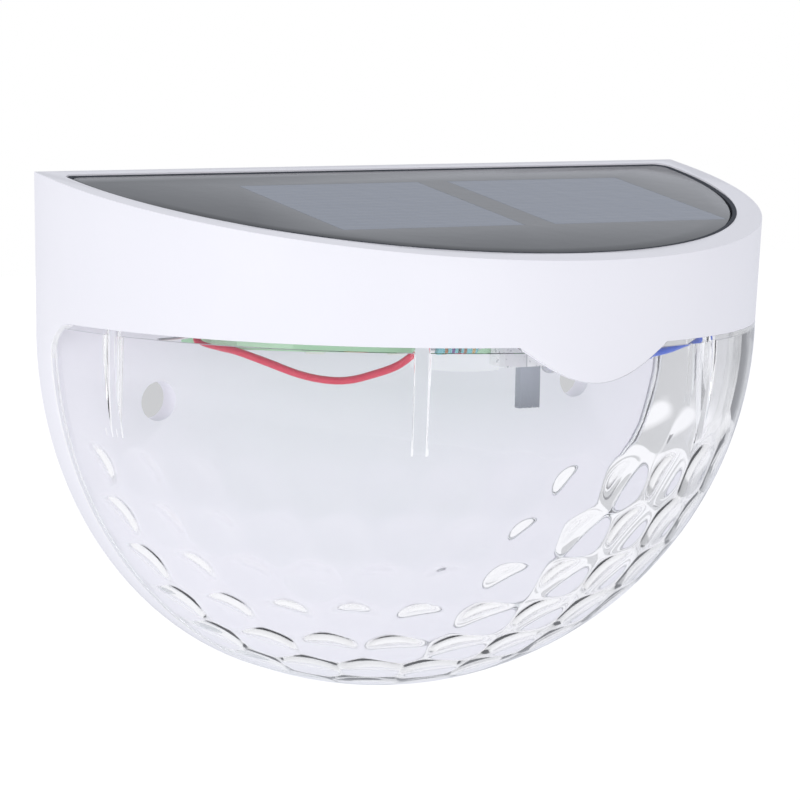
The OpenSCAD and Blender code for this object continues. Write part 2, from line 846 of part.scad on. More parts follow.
// A solder joint on top of the board.
module joint(place) {
    translate([place[0], place[1], board_top])
        cylinder(h = joint_h, r1 = joint_d / 2, r2 = joint_d * 0.3, $fn = 32);
}

module solder_joints() {
    color("silver") {
        joint(lead_joint);
        joint([resistor_x + lead_reach, -board_front + 3.6]);
        joint(panel_joint);
        joint(red_joint);
        joint(black_joint);
    }
}

wall_plate();
hood();
lens();
solar_laminate();
solar_cell(-1);  // solar_cell_left
solar_cell(1);  // solar_cell_right
panel_seal();
panel_tape();
led_board();
led(1);  // led_1
led(2);  // led_2
led(3);  // led_3
led(4);  // led_4
led(5);  // led_5
led(6);  // led_6
resistor();
driver_chip();
inductor();
switch_body();
switch_terminals();
switch_lever();
battery();
battery_button();
battery_tabs();
battery_tape();
board_screws();
solder_joints();
color("crimson") wire(red_lead_route, wire_d);  // board_lead_red
color("crimson") wire(panel_red_route, wire_d);  // panel_wire_red
color("royalblue") wire(panel_blue_route, wire_d);  // panel_wire_blue
color("crimson") wire(battery_red_route, wire_d);  // battery_wire_red
color("black") wire(battery_black_route, wire_d);  // battery_wire_black
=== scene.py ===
# Solar wall sconce: a plate that screws to the wall, and a lamp pushed onto it, with a white
# half-round hood, a solar panel in its sloping top, a clear dimpled lens and the parts that
# show through the lens. Lengths written with MM are in millimetres in the model's own frame.
import math

import bpy
from mathutils import Matrix, Vector


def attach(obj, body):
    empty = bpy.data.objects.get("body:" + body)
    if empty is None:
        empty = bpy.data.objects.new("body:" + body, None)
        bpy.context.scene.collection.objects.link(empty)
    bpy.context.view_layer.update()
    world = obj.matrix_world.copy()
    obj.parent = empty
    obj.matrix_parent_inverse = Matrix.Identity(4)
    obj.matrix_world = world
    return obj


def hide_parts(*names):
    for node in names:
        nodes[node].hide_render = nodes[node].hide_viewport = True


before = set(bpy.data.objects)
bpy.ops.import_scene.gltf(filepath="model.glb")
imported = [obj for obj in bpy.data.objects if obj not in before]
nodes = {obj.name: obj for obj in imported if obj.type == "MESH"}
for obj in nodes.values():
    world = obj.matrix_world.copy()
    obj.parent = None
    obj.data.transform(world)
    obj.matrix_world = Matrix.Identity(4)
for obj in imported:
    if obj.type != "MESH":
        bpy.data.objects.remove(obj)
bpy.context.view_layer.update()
MM = 0.001

# Camera. It stands in front of the lamp and to its left, a little above its middle, and looks
# at it through a long lens, as the photograph was taken.
camera = bpy.data.objects.new("camera", bpy.data.cameras.new("camera"))
bpy.context.scene.collection.objects.link(camera)
camera.data.lens = 211.08
camera.data.sensor_width = 36.0
camera.data.clip_end = 20.0
to_right = Vector((0.82995, -0.55729, 0.02493)).normalized()
to_top = Vector((0.04395, 0.10986, 0.99297)).normalized()
turned = Matrix((to_right, to_top, to_right.cross(to_top))).transposed()
camera.matrix_world = Matrix.Translation((-0.44101, -0.66459, 0.09079)) @ turned.to_4x4()
bpy.context.scene.camera = camera


# Wall plate. A flat moulding in white plastic with a rim, two bossed screw holes and webs. It
# is screwed to the wall, and it shows through the lens as the pale back of the lamp.
class Value:
    """A socket in a finish. Arithmetic on it adds Math nodes."""

    def __init__(self, finish, socket):
        self.finish = finish
        self.socket = socket

    def math(self, operation, *others):
        sockets = dict(enumerate((self, *others)))
        return self.finish.node("Math", {"operation": operation}, sockets)

    def __add__(self, other):
        return self.math("ADD", other)

    def __sub__(self, other):
        return self.math("SUBTRACT", other)

    def __rsub__(self, other):
        return self * -1.0 + other

    def __mul__(self, other):
        return self.math("MULTIPLY", other)

    def __truediv__(self, other):
        return self.math("DIVIDE", other)

    __radd__ = __add__
    __rmul__ = __mul__

    def above(self, edge):
        return self.math("GREATER_THAN", edge)

    def below(self, edge):
        return self.math("LESS_THAN", edge)

    def between(self, low, high):
        return self.above(low) * self.below(high)

    def either(self, other):
        return self.math("MAXIMUM", other)

    def size(self):
        return self.math("ABSOLUTE")

    def lines(self, pitch, width):
        """1 on stripes of a width that repeat at a pitch."""
        return self.math("PINGPONG", pitch / 2).below(width / 2)


class Finish:
    """A material being made up for one of the lamp's surfaces."""

    def __init__(self, name):
        self.material = bpy.data.materials.new(name)
        self.material.use_nodes = True
        self.tree = self.material.node_tree
        self.tree.nodes.clear()
        self.output = self.tree.nodes.new("ShaderNodeOutputMaterial")

    def node(self, kind, settings=None, sockets=None, out=0):
        made = self.tree.nodes.new("ShaderNode" + kind)
        for name, value in (settings or {}).items():
            setattr(made, name, value)
        for name, value in (sockets or {}).items():
            socket = made.inputs[name]
            if isinstance(value, Value):
                self.tree.links.new(value.socket, socket)
            elif isinstance(value, tuple) and socket.type == "RGBA":
                socket.default_value = (*value, 1.0)
            else:
                socket.default_value = value
        return Value(self, made.outputs[out])

    def place(self):
        """Where the surface is, in millimetres: the vector, then its X, Y and Z."""
        here = self.node("TexCoord", out="Object")
        here = self.node("VectorMath", {"operation": "SCALE"}, {0: here, "Scale": 1000.0})
        return here, *(self.node("SeparateXYZ", None, {0: here}, out=i) for i in range(3))

    def noise(self, where, scale, detail=3.0):
        return self.node("TexNoise", None, {"Vector": where, "Scale": scale, "Detail": detail})

    def mix(self, share, one, other):
        return self.node("Mix", {"data_type": "RGBA"}, {0: share, 6: one, 7: other}, out=2)

    def bump(self, height, depth):
        """Relief whose height, 0 to 1, is a depth in millimetres."""
        return self.node("Bump", None, {"Height": height, "Distance": depth * MM})

    def show(self, shader):
        self.tree.links.new(shader.socket, self.output.inputs[0])

    def skin(self, colour, **sockets):
        """A Principled surface: words joined by _ name its sockets."""
        named = {"Base Color": colour}
        for name, value in sockets.items():
            named["IOR" if name == "ior" else name.replace("_", " ").title()] = value
        return self.node("BsdfPrincipled", None, named)


def select_only(*pieces):
    bpy.ops.object.select_all(action="DESELECT")
    for piece in pieces:
        piece.select_set(True)
    bpy.context.view_layer.objects.active = pieces[0]


def dress(piece, finish):
    piece.data.materials.clear()
    piece.data.materials.append(finish.material)


def own_copy(name, cad_name):
    """A piece with a CAD node's shape, its loose triangles joined into whole faces."""
    piece = bpy.data.objects.new(name, nodes[cad_name].data.copy())
    bpy.context.scene.collection.objects.link(piece)
    select_only(piece)
    bpy.ops.object.mode_set(mode="EDIT")
    bpy.ops.mesh.select_all(action="SELECT")
    bpy.ops.mesh.remove_doubles(threshold=2e-6)
    bpy.ops.mesh.dissolve_limited(angle_limit=math.radians(0.4))
    bpy.ops.object.mode_set(mode="OBJECT")
    return piece


def round_edges(piece, width, angle=30.0, segments=2):
    """Rounds the edges sharper than an angle, as a moulding's are, and shades the rest smooth."""
    select_only(piece)
    if width:
        rounding = piece.modifiers.new("rounding", "BEVEL")
        rounding.width = width * MM
        rounding.segments = segments
        rounding.limit_method = "ANGLE"
        rounding.angle_limit = math.radians(angle)
        rounding.miter_outer = "MITER_ARC"
        bpy.ops.object.modifier_apply(modifier=rounding.name)
    bpy.ops.object.shade_smooth_by_angle(angle=math.radians(angle))


def fit(piece, body, finish, slot, *cad_names):
    """Paints a piece, puts it on its body and lets it stand for its CAD nodes."""
    dress(piece, finish)
    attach(piece, body)
    if cad_names:
        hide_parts(*cad_names)


plate_white = Finish("plate_white")
where, x, y, z = plate_white.place()
cloud = plate_white.noise(where, 0.05, 2.0)
grain = plate_white.noise(where, 5.0, 2.0)
plate_white.show(plate_white.skin(
    plate_white.mix(cloud, (0.9, 0.885, 0.95), (0.93, 0.915, 0.97)),
    roughness=grain * 0.08 + 0.36,
    normal=plate_white.bump(grain, 0.006),
))
plate = own_copy("plate_moulding", "wall_plate")
round_edges(plate, 0.35, segments=3)
fit(plate, "wall", plate_white, "white_plastic", "wall_plate")

# Hood. One moulding in glossy cool white plastic: the drafted half-round wall, the roof with
# the pocket for the panel, the straight frame behind the lens and the tongue in front.
hood_white = Finish("hood_white")
where, x, y, z = hood_white.place()
cloud = hood_white.noise(where, 0.04, 2.0)
grain = hood_white.noise(where, 4.0, 2.0)
hood_white.show(hood_white.skin(
    hood_white.mix(cloud, (0.84, 0.838, 0.893), (0.875, 0.873, 0.917)),
    roughness=grain * 0.06 + 0.27,
    normal=hood_white.bump(grain, 0.004),
    coat_weight=0.15,
    coat_roughness=0.1,
))
hood = own_copy("hood_moulding", "hood")
round_edges(hood, 0.4, segments=3)
fit(hood, "lamp", hood_white, "white_plastic", "hood")

# Lens. A quarter sphere of clear plastic, moulded with rows of shallow round dimples on its
# inside, four upright ribs and a lip that reaches up inside the hood. It is glued to the hood.
LENS_OUT, LENS_IN, MOUTH, AXIS = 64.0, 61.8, 14.0, -4.5
DIMPLE_R, DIMPLE_TALL, ROW_STEP, ROW_FIRST, DIMPLE_PITCH = 4.6, 0.55, 8.7, 22.0, 10.6
RIM_SOFT = 0.26
cap = DIMPLE_TALL + math.sqrt(LENS_IN**2 - DIMPLE_R**2) - LENS_IN
dimple_ball = (DIMPLE_R**2 + cap**2) / (2 * cap)
ball_from_axis = LENS_IN - DIMPLE_TALL + dimple_ball
rows = []
for i in range(8):
    down = math.radians(ROW_FIRST + ROW_STEP * i)
    row_r = LENS_IN * math.cos(down)
    edge = math.acos((DIMPLE_R + 0.9) / row_r)
    gaps = max(1, round(2 * edge * row_r / DIMPLE_PITCH))
    rows.append((down, [edge * (2 * k / gaps - 1) for k in range(gaps + 1)]))


def inside(down, bearing):
    """Radius of the lens's inside in a direction: less where it swells into a dimple."""
    tallest = -9.0
    for row_down, bearings in rows:
        if abs(row_down - down) > 0.1:
            continue
        for centre in bearings:
            cosine = math.sin(down) * math.sin(row_down) + math.cos(down) * math.cos(
                row_down
            ) * math.cos(bearing - centre)
            reach = dimple_ball**2 - ball_from_axis**2 * (1 - cosine * cosine)
            if cosine > 0.99 and reach > 0:
                tallest = max(tallest, LENS_IN - ball_from_axis * cosine + math.sqrt(reach))
    return LENS_IN - 0.5 * (tallest + math.hypot(tallest, RIM_SOFT))


fine = [0.95, 4, 8, 12, 15, 17] + [17.5 + 0.5 * k for k in range(145)]
inner = [math.radians(a) for a in fine] + [math.pi / 2]
outer = [math.radians(a) for a in range(90, -1, -2)]
profile = [(LENS_IN * math.cos(a), MOUTH - LENS_IN * math.sin(a)) for a in inner]
profile += [(LENS_OUT * math.cos(a), MOUTH - LENS_OUT * math.sin(a)) for a in outer]
profile += [(61.85, 14.0), (61.85, 17.35), (61.7, 17.5), (60.5, 17.5), (60.35, 17.35), (60.35, 13.0)]
mesh = bpy.data.meshes.new("lens_moulding")
ring = [((r if r > 1e-6 else 0.0) * MM, AXIS * MM, z * MM) for r, z in profile]
mesh.from_pydata(ring, [(i, (i + 1) % len(ring)) for i in range(len(ring))], [])
lens = bpy.data.objects.new("lens_moulding", mesh)
bpy.context.scene.collection.objects.link(lens)
select_only(lens)
bpy.ops.object.mode_set(mode="EDIT")
bpy.ops.mesh.select_all(action="SELECT")
bpy.ops.mesh.spin(
    steps=360, angle=math.pi, center=(0, AXIS * MM, MOUTH * MM), axis=(0, 0, 1), dupli=False
)
bpy.ops.mesh.select_all(action="SELECT")
bpy.ops.mesh.remove_doubles(threshold=2e-6)
bpy.ops.mesh.select_all(action="DESELECT")
bpy.ops.mesh.select_mode(type="EDGE")
bpy.ops.mesh.select_non_manifold()
bpy.ops.mesh.edge_face_add()
bpy.ops.mesh.select_all(action="SELECT")
bpy.ops.mesh.normals_make_consistent(inside=False)
bpy.ops.object.mode_set(mode="OBJECT")
for spot in lens.data.vertices:
    px, py, pz = spot.co.x / MM, spot.co.y / MM - AXIS, spot.co.z / MM - MOUTH
    away = math.sqrt(px * px + py * py + pz * pz)
    level = math.hypot(px, py)
    if abs(away - LENS_IN) < 0.01 and pz < -15 and level > 0.5:
        grown = inside(math.atan2(-pz, level), math.atan2(px, -py)) / away
        spot.co = Vector((px * grown, py * grown + AXIS, pz * grown + MOUTH)) * MM


def bar(name, corners, start, end, along_y=False):
    """A bar of a drawn section, its corners in YZ and its length along X, or XZ and along Y."""
    made = bpy.data.meshes.new(name)
    spots = [
        ((a, d, b) if along_y else (d, a, b)) for d in (start, end) for a, b in corners
    ]
    n = len(corners)
    walls = [(i, (i + 1) % n, n + (i + 1) % n, n + i) for i in range(n)]
    made.from_pydata(
        [Vector(s) * MM for s in spots], [],
        [tuple(range(n))[::-1], tuple(range(n, 2 * n)), *walls],
    )
    piece = bpy.data.objects.new(name, made)
    bpy.context.scene.collection.objects.link(piece)
    select_only(piece)
    bpy.ops.object.mode_set(mode="EDIT")
    bpy.ops.mesh.select_all(action="SELECT")
    bpy.ops.mesh.normals_make_consistent(inside=False)
    bpy.ops.object.mode_set(mode="OBJECT")
    return piece


def cut(piece, tool, how="DIFFERENCE"):
    """Takes a tool solid away from a piece, or joins it on, and clears the tool away."""
    select_only(piece)
    change = piece.modifiers.new("cut", "BOOLEAN")
    change.operation = how
    change.solver = "EXACT"
    change.object = tool
    bpy.ops.object.modifier_apply(modifier=change.name)
    bpy.data.objects.remove(tool)


RIB_SECTION = [
    (-59.6, 17.5), (-61.6, 17.5), (-61.6, 13.7), (-62.5, 13.7), (-62.6, 8.0), (-61.75, 2.0),
    (-60.4, -3.5), (-59.6, -3.5),
]
RIBS = (-77, -27, 27, 77)
for i, angle in enumerate(RIBS):
    rib = bar(f"rib_{i}", RIB_SECTION, -1.2, 1.2)
    round_edges(rib, 0.2, angle=60)
    rib.matrix_world = Matrix.Translation((0, AXIS * MM, 0)) @ Matrix.Rotation(
        math.radians(angle), 4, "Z"
    )
    cut(lens, rib, "UNION")
arc = [math.radians(7.5 * k) for k in range(13)]
corner = [(-10.5 + 5.9 * math.sin(a), 8 + 5.9 * math.cos(a)) for a in arc]
cut(lens, bar("corner", [*corner, (-4, 8), (-4, 20), (-11.5, 20), (-11.5, 13.95)], -70, 70))
HALF, DROP = 14.52, 6.02
edge_line = [
    (HALF * k / 24, MOUTH - DROP * math.cos(math.pi / 2 * k / 24)) for k in range(-24, 25)
]
tongue_room = bar("tongue_room", [*edge_line, (HALF, 14.02), (-HALF, 14.02)], -72, -50, True)
bpy.ops.mesh.primitive_uv_sphere_add(
    segments=256, ring_count=128, radius=62.7 * MM, location=(0, AXIS * MM, MOUTH * MM)
)
cut(tongue_room, bpy.context.object)
cut(lens, tongue_room)
select_only(lens)
bpy.ops.object.shade_smooth_by_angle(angle=math.radians(32))

clear = Finish("clear_plastic")
where, x, y, z = clear.place()
from_corner = ((y + 10.5) * (y + 10.5) + (z - 8.0) * (z - 8.0)).math("SQRT")
# White, rough plastic mixed into the clear: frosting on the lens's back face and round the corner
# fillet, and painted highlights on the ribs.
frost_and_painted_highlight = y.above(-5.0).either(from_corner.between(5.8, 6.3) * y.above(-10.6) * z.above(7.9))
# Painted highlights: a thin white stripe along each rib's inner edge and one at its root stand in for
# glints of the lamps.
for angle in RIBS:
    turn = math.radians(angle)
    across = (x * math.cos(turn) + (y - AXIS) * math.sin(turn)).size()
    outward = x * math.sin(turn) - (y - AXIS) * math.cos(turn)
    on_rib = across.below(1.3) * z.above(-3.4) * z.below(13.0) * outward.below(61.9)
    frost_and_painted_highlight = frost_and_painted_highlight.either(on_rib * across.above(1.0) * outward.below(59.95))
    frost_and_painted_highlight = frost_and_painted_highlight.either(on_rib * across.above(1.15) * outward.above(61.45))
body_of_it = clear.skin((0.993, 0.995, 1.0), roughness=0.01, ior=1.49, transmission_weight=1.0)
body_of_it = clear.node("MixShader", None, {
    0: frost_and_painted_highlight * 0.85, 1: body_of_it, 2: clear.skin((0.97, 0.97, 0.98), roughness=0.5),
})
soft_rays = clear.node("LightPath", out="Is Shadow Ray").either(
    clear.node("LightPath", out="Is Diffuse Ray")
)
passed = clear.node("BsdfTransparent", None, {"Color": (0.993, 0.995, 1.0)})
clear.show(clear.node("MixShader", None, {0: soft_rays, 1: body_of_it, 2: passed}))
fit(lens, "lamp", clear, "clear_plastic", "lens")

# Solar panel. A slab of clear resin cast over a dark grey backing, its edge rounded down all
# round, with two cells of fine printed lines, set in the hood's pocket in dark sealant. The
# dark bead also stands for the shadow in the gap round the slab, so it is partly painted shade.
SLOPE = math.radians(8.5)
down_slope = Matrix.Translation((0, 0, 38 * MM)) @ Matrix.Rotation(SLOPE, 4, "X")
up_slope = down_slope.inverted()
out_of_slope = down_slope.to_3x3() @ Vector((0, 0, 1))


def in_slope(finish):
    """Millimetres along the lamp, down the slope and out of it, for the panel's finishes."""
    here = finish.node("TexCoord", out="Object")
    flat = finish.node("Mapping", None, {
        "Vector": here, "Rotation": (-SLOPE, 0.0, 0.0),
        "Location": (0.0, -0.038 * math.sin(SLOPE), -0.038 * math.cos(SLOPE)),
    })
    flat = finish.node("VectorMath", {"operation": "SCALE"}, {0: flat, "Scale": 1000.0})
    return flat, *(finish.node("SeparateXYZ", None, {0: flat}, out=i) for i in range(3))


def faces_where(piece, test):
    """In edit mode, selects only the faces whose middle and normal pass a test."""
    select_only(piece)
    bpy.ops.object.mode_set(mode="EDIT")
    bpy.ops.mesh.select_mode(type="FACE")
    bpy.ops.mesh.select_all(action="DESELECT")
    bpy.ops.object.mode_set(mode="OBJECT")
    for face in piece.data.polygons:
        face.select = test(face.center, face.normal)
    bpy.ops.object.mode_set(mode="EDIT")


panel_grey = Finish("panel_grey")
where, x, v, n = in_slope(panel_grey)
weave = x.lines(0.9, 0.3).either(v.lines(0.9, 0.3))
cloud = panel_grey.noise(where, 0.1, 3.0)
from_front = 61.24 - (x * x + (v + 3.2) * (v + 3.2)).math("SQRT")
drop = 1.0 - (from_front / 4.5).math("MINIMUM", 1.0)
front_half = ((-18.0 - v) / 14.0).math("MAXIMUM", 0.0).math("MINIMUM", 1.0)
dome = panel_grey.noise(where, 0.25, 2.0) * 0.04 - drop * drop * front_half
panel_grey.show(panel_grey.skin(
    panel_grey.mix(cloud * 0.7 + weave * 0.2, (0.03, 0.033, 0.036), (0.042, 0.046, 0.051)),
    roughness=cloud * 0.04 + 0.1,
    ior=1.54,
    normal=panel_grey.bump(dome, 0.6),
))
slab = own_copy("panel_slab", "solar_laminate")
lowest = min((up_slope @ spot.co).z for spot in slab.data.vertices)
faces_where(slab, lambda at, normal: (up_slope @ at).z < lowest + 0.1 * MM)
bpy.ops.mesh.select_all(action="INVERT")
bpy.ops.mesh.delete(type="FACE")
bpy.ops.mesh.select_all(action="SELECT")
bpy.ops.mesh.dissolve_limited(angle_limit=math.radians(1))
bpy.ops.mesh.select_all(action="SELECT")
bpy.ops.mesh.extrude_region_move(
    TRANSFORM_OT_translate={"value": tuple(out_of_slope * 1.55 * MM)}
)
for inset, height in ((0.1, 0.2), (0.12, 0.12), (0.15, 0.08), (0.2, 0.05)):
    bpy.ops.mesh.inset(thickness=inset * MM, depth=0)
    bpy.ops.transform.translate(value=tuple(out_of_slope * height * MM))
bpy.ops.mesh.select_all(action="SELECT")
bpy.ops.mesh.normals_make_consistent(inside=False)
bpy.ops.object.mode_set(mode="OBJECT")
for left_edge in (-33.0, 8.5):
    bpy.ops.mesh.primitive_cube_add(size=1)
    room = bpy.context.object
    room.matrix_world = down_slope @ Matrix.Translation(
        Vector((left_edge + 17.75, -28, 0)) * MM
    ) @ Matrix.Diagonal((35.5 * MM, 32 * MM, 1.4 * MM, 1))
    cut(slab, room)
select_only(slab)
bpy.ops.object.shade_smooth_by_angle(angle=math.radians(28))
fit(slab, "lamp", panel_grey, "panel_grey", "solar_laminate")

silicon = Finish("cell_silicon")
where, x, v, n = in_slope(silicon)
crystal = silicon.noise(where, 0.6, 4.0)
silicon.show(silicon.skin(
    silicon.mix(
        v.lines(2.0, 0.16) * 0.5,
        silicon.mix(crystal, (0.07, 0.095, 0.145), (0.09, 0.12, 0.18)),
        (0.2, 0.23, 0.28),
    ),
    roughness=crystal * 0.03 + 0.11,
    ior=1.58,
    normal=silicon.bump(silicon.noise(where, 0.25, 2.0), 0.03),
))
for name in ("solar_cell_left", "solar_cell_right"):
    dress(nodes[name], silicon)

# The bead is black sealant and also painted shade: its dark colour stands for the shadow in the gap
# round the panel as well.
sealant_and_gap_shade = Finish("dark_sealant")
where, x, v, n = in_slope(sealant_and_gap_shade)
lumps = sealant_and_gap_shade.noise(where, 1.2, 3.0)
sealant_and_gap_shade.show(sealant_and_gap_shade.skin(
    sealant_and_gap_shade.mix(lumps, (0.045, 0.05, 0.062), (0.06, 0.067, 0.08)),
    roughness=lumps * 0.15 + 0.6,
    ior=1.2,
    normal=sealant_and_gap_shade.bump(lumps, 0.05),
))
bead = own_copy("sealant_and_gap_shade_bead", "panel_seal")
# The bead's top rises toward the front, by up to 0.4 mm, so that its dark colour shows there as a line
# of painted shade. More than 0.35 mm in from the rim it is lowered 0.15 mm.
for spot in bead.data.vertices:
    at = (up_slope @ spot.co) / MM
    across, down = abs(at.x), -at.y
    if across > 58.73 and down < 4.9:
        from_rim = 2.5 - math.hypot(across - 58.73, down - 4.9)
    else:
        from_rim = min(61.24 - math.hypot(at.x, down - 3.2), down - 2.4)
    if at.z > -1:
        rise = max(0.0, min(0.4, 0.02 * (down - 24)))
        spot.co += out_of_slope * (rise - (0.15 if from_rim > 0.35 else 0.0)) * MM
round_edges(bead, 0, angle=50)
fit(bead, "lamp", sealant_and_gap_shade, "dark_sealant", "panel_seal")

foam = Finish("foam_tape")
where, x, y, z = foam.place()
cells = foam.node("TexVoronoi", None, {"Vector": where, "Scale": 3.0})
foam.show(foam.skin(
    foam.mix(cells, (0.03, 0.03, 0.032), (0.07, 0.07, 0.072)), roughness=0.95,
    normal=foam.bump(cells, 0.1),
))
dress(nodes["panel_tape"], foam)
dress(nodes["battery_tape"], foam)

# Circuit board. Pale green solder mask over glass fibre, cut to a round front, with tinned
# pads and copper traces on both sides. Two screws with recessed heads hold it under the hood.
board_green = Finish("board_green")
where, x, y, z = board_green.place()
facing = board_green.node("NewGeometry", out="Normal")
flat_face = board_green.node("SeparateXYZ", None, {0: facing}, out=2).size().above(0.5)
sweep = board_green.noise(where, 0.06, 1.0) * 9.0
trace = (x + sweep).lines(4.2, 0.9) * (y + sweep).lines(11.0, 8.0)
trace = trace.either((y + sweep * 0.7).lines(6.3, 0.8) * (x - sweep).lines(17.0, 12.0))
fibre = board_green.noise(where, 6.0, 2.0)
board_green.show(board_green.skin(
    board_green.mix(
        flat_face,
        board_green.mix(fibre, (0.4, 0.7, 0.44), (0.5, 0.78, 0.52)),
        board_green.mix(trace, (0.2, 0.42, 0.24), (0.3, 0.54, 0.33)),
    ),
    roughness=fibre * 0.1 + flat_face * -0.2 + 0.55,
    normal=board_green.bump(trace * flat_face + fibre * 0.1, 0.035),
))
dress(nodes["led_board"], board_green)


def metal(name, colour, roughness, scale=3.0):
    made = Finish(name)
    grain = made.noise(made.place()[0], scale, 4.0)
    worn = tuple(c * 0.82 for c in colour)
    made.show(made.skin(
        made.mix(grain, worn, colour), metallic=1.0, roughness=grain * 0.2 + roughness,
        normal=made.bump(grain, 0.01),
    ))
    return made


tin = metal("tinned_metal", (0.8, 0.8, 0.81), 0.22)
steel = metal("zinc_screw", (0.72, 0.73, 0.75), 0.3)
screws = own_copy("board_screw_pair", "board_screws")
for side in (-31, 31):
    for turn in (20, 110):
        bpy.ops.mesh.primitive_cube_add(size=1)
        recess = bpy.context.object
        recess.matrix_world = Matrix.Translation(Vector((side, -14.5, 9.9)) * MM) @ Matrix.Rotation(
            math.radians(turn), 4, "Z"
        ) @ Matrix.Diagonal((2.4 * MM, 0.5 * MM, 1.1 * MM, 1))
        cut(screws, recess)
round_edges(screws, 0.12, angle=50)
fit(screws, "lamp", steel, "tinned_metal", "board_screws")
cones = own_copy("solder_cones", "solder_joints")
round_edges(cones, 0.18, angle=40, segments=3)
fit(cones, "lamp", tin, "tinned_metal", "solder_joints")

# Diodes. Six white ceramic boxes, each with a yellow phosphor window in its face and a tinned
# foot at each end, soldered under the board on an arc. One is modelled and then copied.
BOARD_AXIS, BOARD_UNDER, DIODE_ARC = 15.6, 11.0, 57.0
ceramic = Finish("diode_ceramic")
chalk = ceramic.noise(ceramic.place()[0], 6.0, 3.0)
ceramic.show(ceramic.skin(
    ceramic.mix(chalk, (0.8, 0.8, 0.76), (0.86, 0.86, 0.83)), roughness=chalk * 0.1 + 0.4,
    normal=ceramic.bump(chalk, 0.01),
))
phosphor = Finish("diode_phosphor")
powder = phosphor.noise(phosphor.place()[0], 12.0, 3.0)
phosphor.show(phosphor.skin(
    phosphor.mix(powder, (0.78, 0.66, 0.08), (0.86, 0.74, 0.16)), roughness=powder * 0.1 + 0.15,
    normal=phosphor.bump(powder, 0.01), coat_weight=0.6,
))
bpy.ops.object.select_all(action="DESELECT")
bpy.ops.mesh.primitive_cube_add(size=1)
diode = bpy.context.object
diode.scale = (2.9 * MM, 2.8 * MM, 0.75 * MM)
diode.location = (0, -DIODE_ARC * MM, (BOARD_UNDER - 0.425) * MM)
bpy.ops.object.transform_apply(location=True, rotation=True, scale=True)
for finish in (ceramic, phosphor):
    diode.data.materials.append(finish.material)
faces_where(diode, lambda at, normal: normal.z < -0.9)
bpy.ops.mesh.inset(thickness=0.32 * MM, depth=0)
bpy.ops.mesh.inset(thickness=0.12 * MM, depth=-0.16 * MM)
diode.active_material_index = 1
bpy.ops.object.material_slot_assign()
bpy.ops.object.mode_set(mode="OBJECT")
round_edges(diode, 0.08, angle=50)
for end in (-1, 1):
    bpy.ops.mesh.primitive_cube_add(size=1)
    foot = bpy.context.object
    foot.scale = (0.45 * MM, 1.9 * MM, 0.62 * MM)
    foot.location = (end * 1.5 * MM, -DIODE_ARC * MM, (BOARD_UNDER - 0.34) * MM)
    bpy.ops.object.transform_apply(location=True, rotation=True, scale=True)
    foot.data.materials.append(tin.material)
    round_edges(foot, 0.06, angle=50)
    select_only(diode, foot)
    bpy.ops.object.join()
for number in range(1, 7):
    one = bpy.data.objects.new(f"diode_{number}", diode.data.copy())
    bpy.context.scene.collection.objects.link(one)
    one.data.transform(
        Matrix.Translation((0, BOARD_AXIS * MM, 0))
        @ Matrix.Rotation(math.radians(13 * (number - 3.5)), 4, "Z")
    )
    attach(one, "lamp")
    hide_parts(f"led_{number}")
bpy.data.objects.remove(diode)


# Wires. Stranded wire in coloured plastic, about 1.2 mm thick, soldered down at its ends. They
# sag under their own weight between the points that hold them. A trimmed bare lead sticks out.
def insulation(name, dark, pale):
    made = Finish(name)
    where = made.place()[0]
    smear = made.noise(where, 0.5, 3.0)
    made.show(made.skin(
        made.mix(smear, dark, pale), roughness=smear * 0.15 + 0.28,
        normal=made.bump(made.noise(where, 3.0, 2.0), 0.015), coat_weight=0.2,
    ))
    return made


red = insulation("red_insulation", (0.58, 0.015, 0.055), (0.72, 0.03, 0.085))
blue = insulation("blue_insulation", (0.004, 0.07, 0.56), (0.015, 0.12, 0.74))
black = insulation("black_insulation", (0.006, 0.006, 0.007), (0.014, 0.014, 0.015))


def smooth_route(route, steps=6):
    """Points on a smooth curve through the route's points."""
    last = len(route) - 1
    found = []
    for i in range(last):
        a, b, c, d = (Vector(route[max(0, min(last, i + k))]) for k in (-1, 0, 1, 2))
        for t in (s / steps for s in range(steps)):
            found.append(0.5 * (
                2 * b + (c - a) * t + (2 * a - 5 * b + 4 * c - d) * t * t
                + (3 * b - a - 3 * c + d) * t**3
            ))
    return [*found, Vector(route[last])]


def tube(name, route, thick, finish, slot, *cad_names):
    """A round wire along a route in millimetres."""
    line = bpy.data.curves.new(name, "CURVE")
    line.dimensions = "3D"
    line.bevel_depth = thick / 2 * MM
    line.bevel_resolution = 6
    line.use_fill_caps = True
    spline = line.splines.new("POLY")
    points = smooth_route(route)
    spline.points.add(len(points) - 1)
    for spot, at in zip(spline.points, points):
        spot.co = (*(at * MM), 1.0)
    piece = bpy.data.objects.new(name, line)
    bpy.context.scene.collection.objects.link(piece)
    select_only(piece)
    bpy.ops.object.convert(target="MESH")
    piece = bpy.context.object
    round_edges(piece, 0, angle=40)
    fit(piece, "lamp", finish, slot, *cad_names)


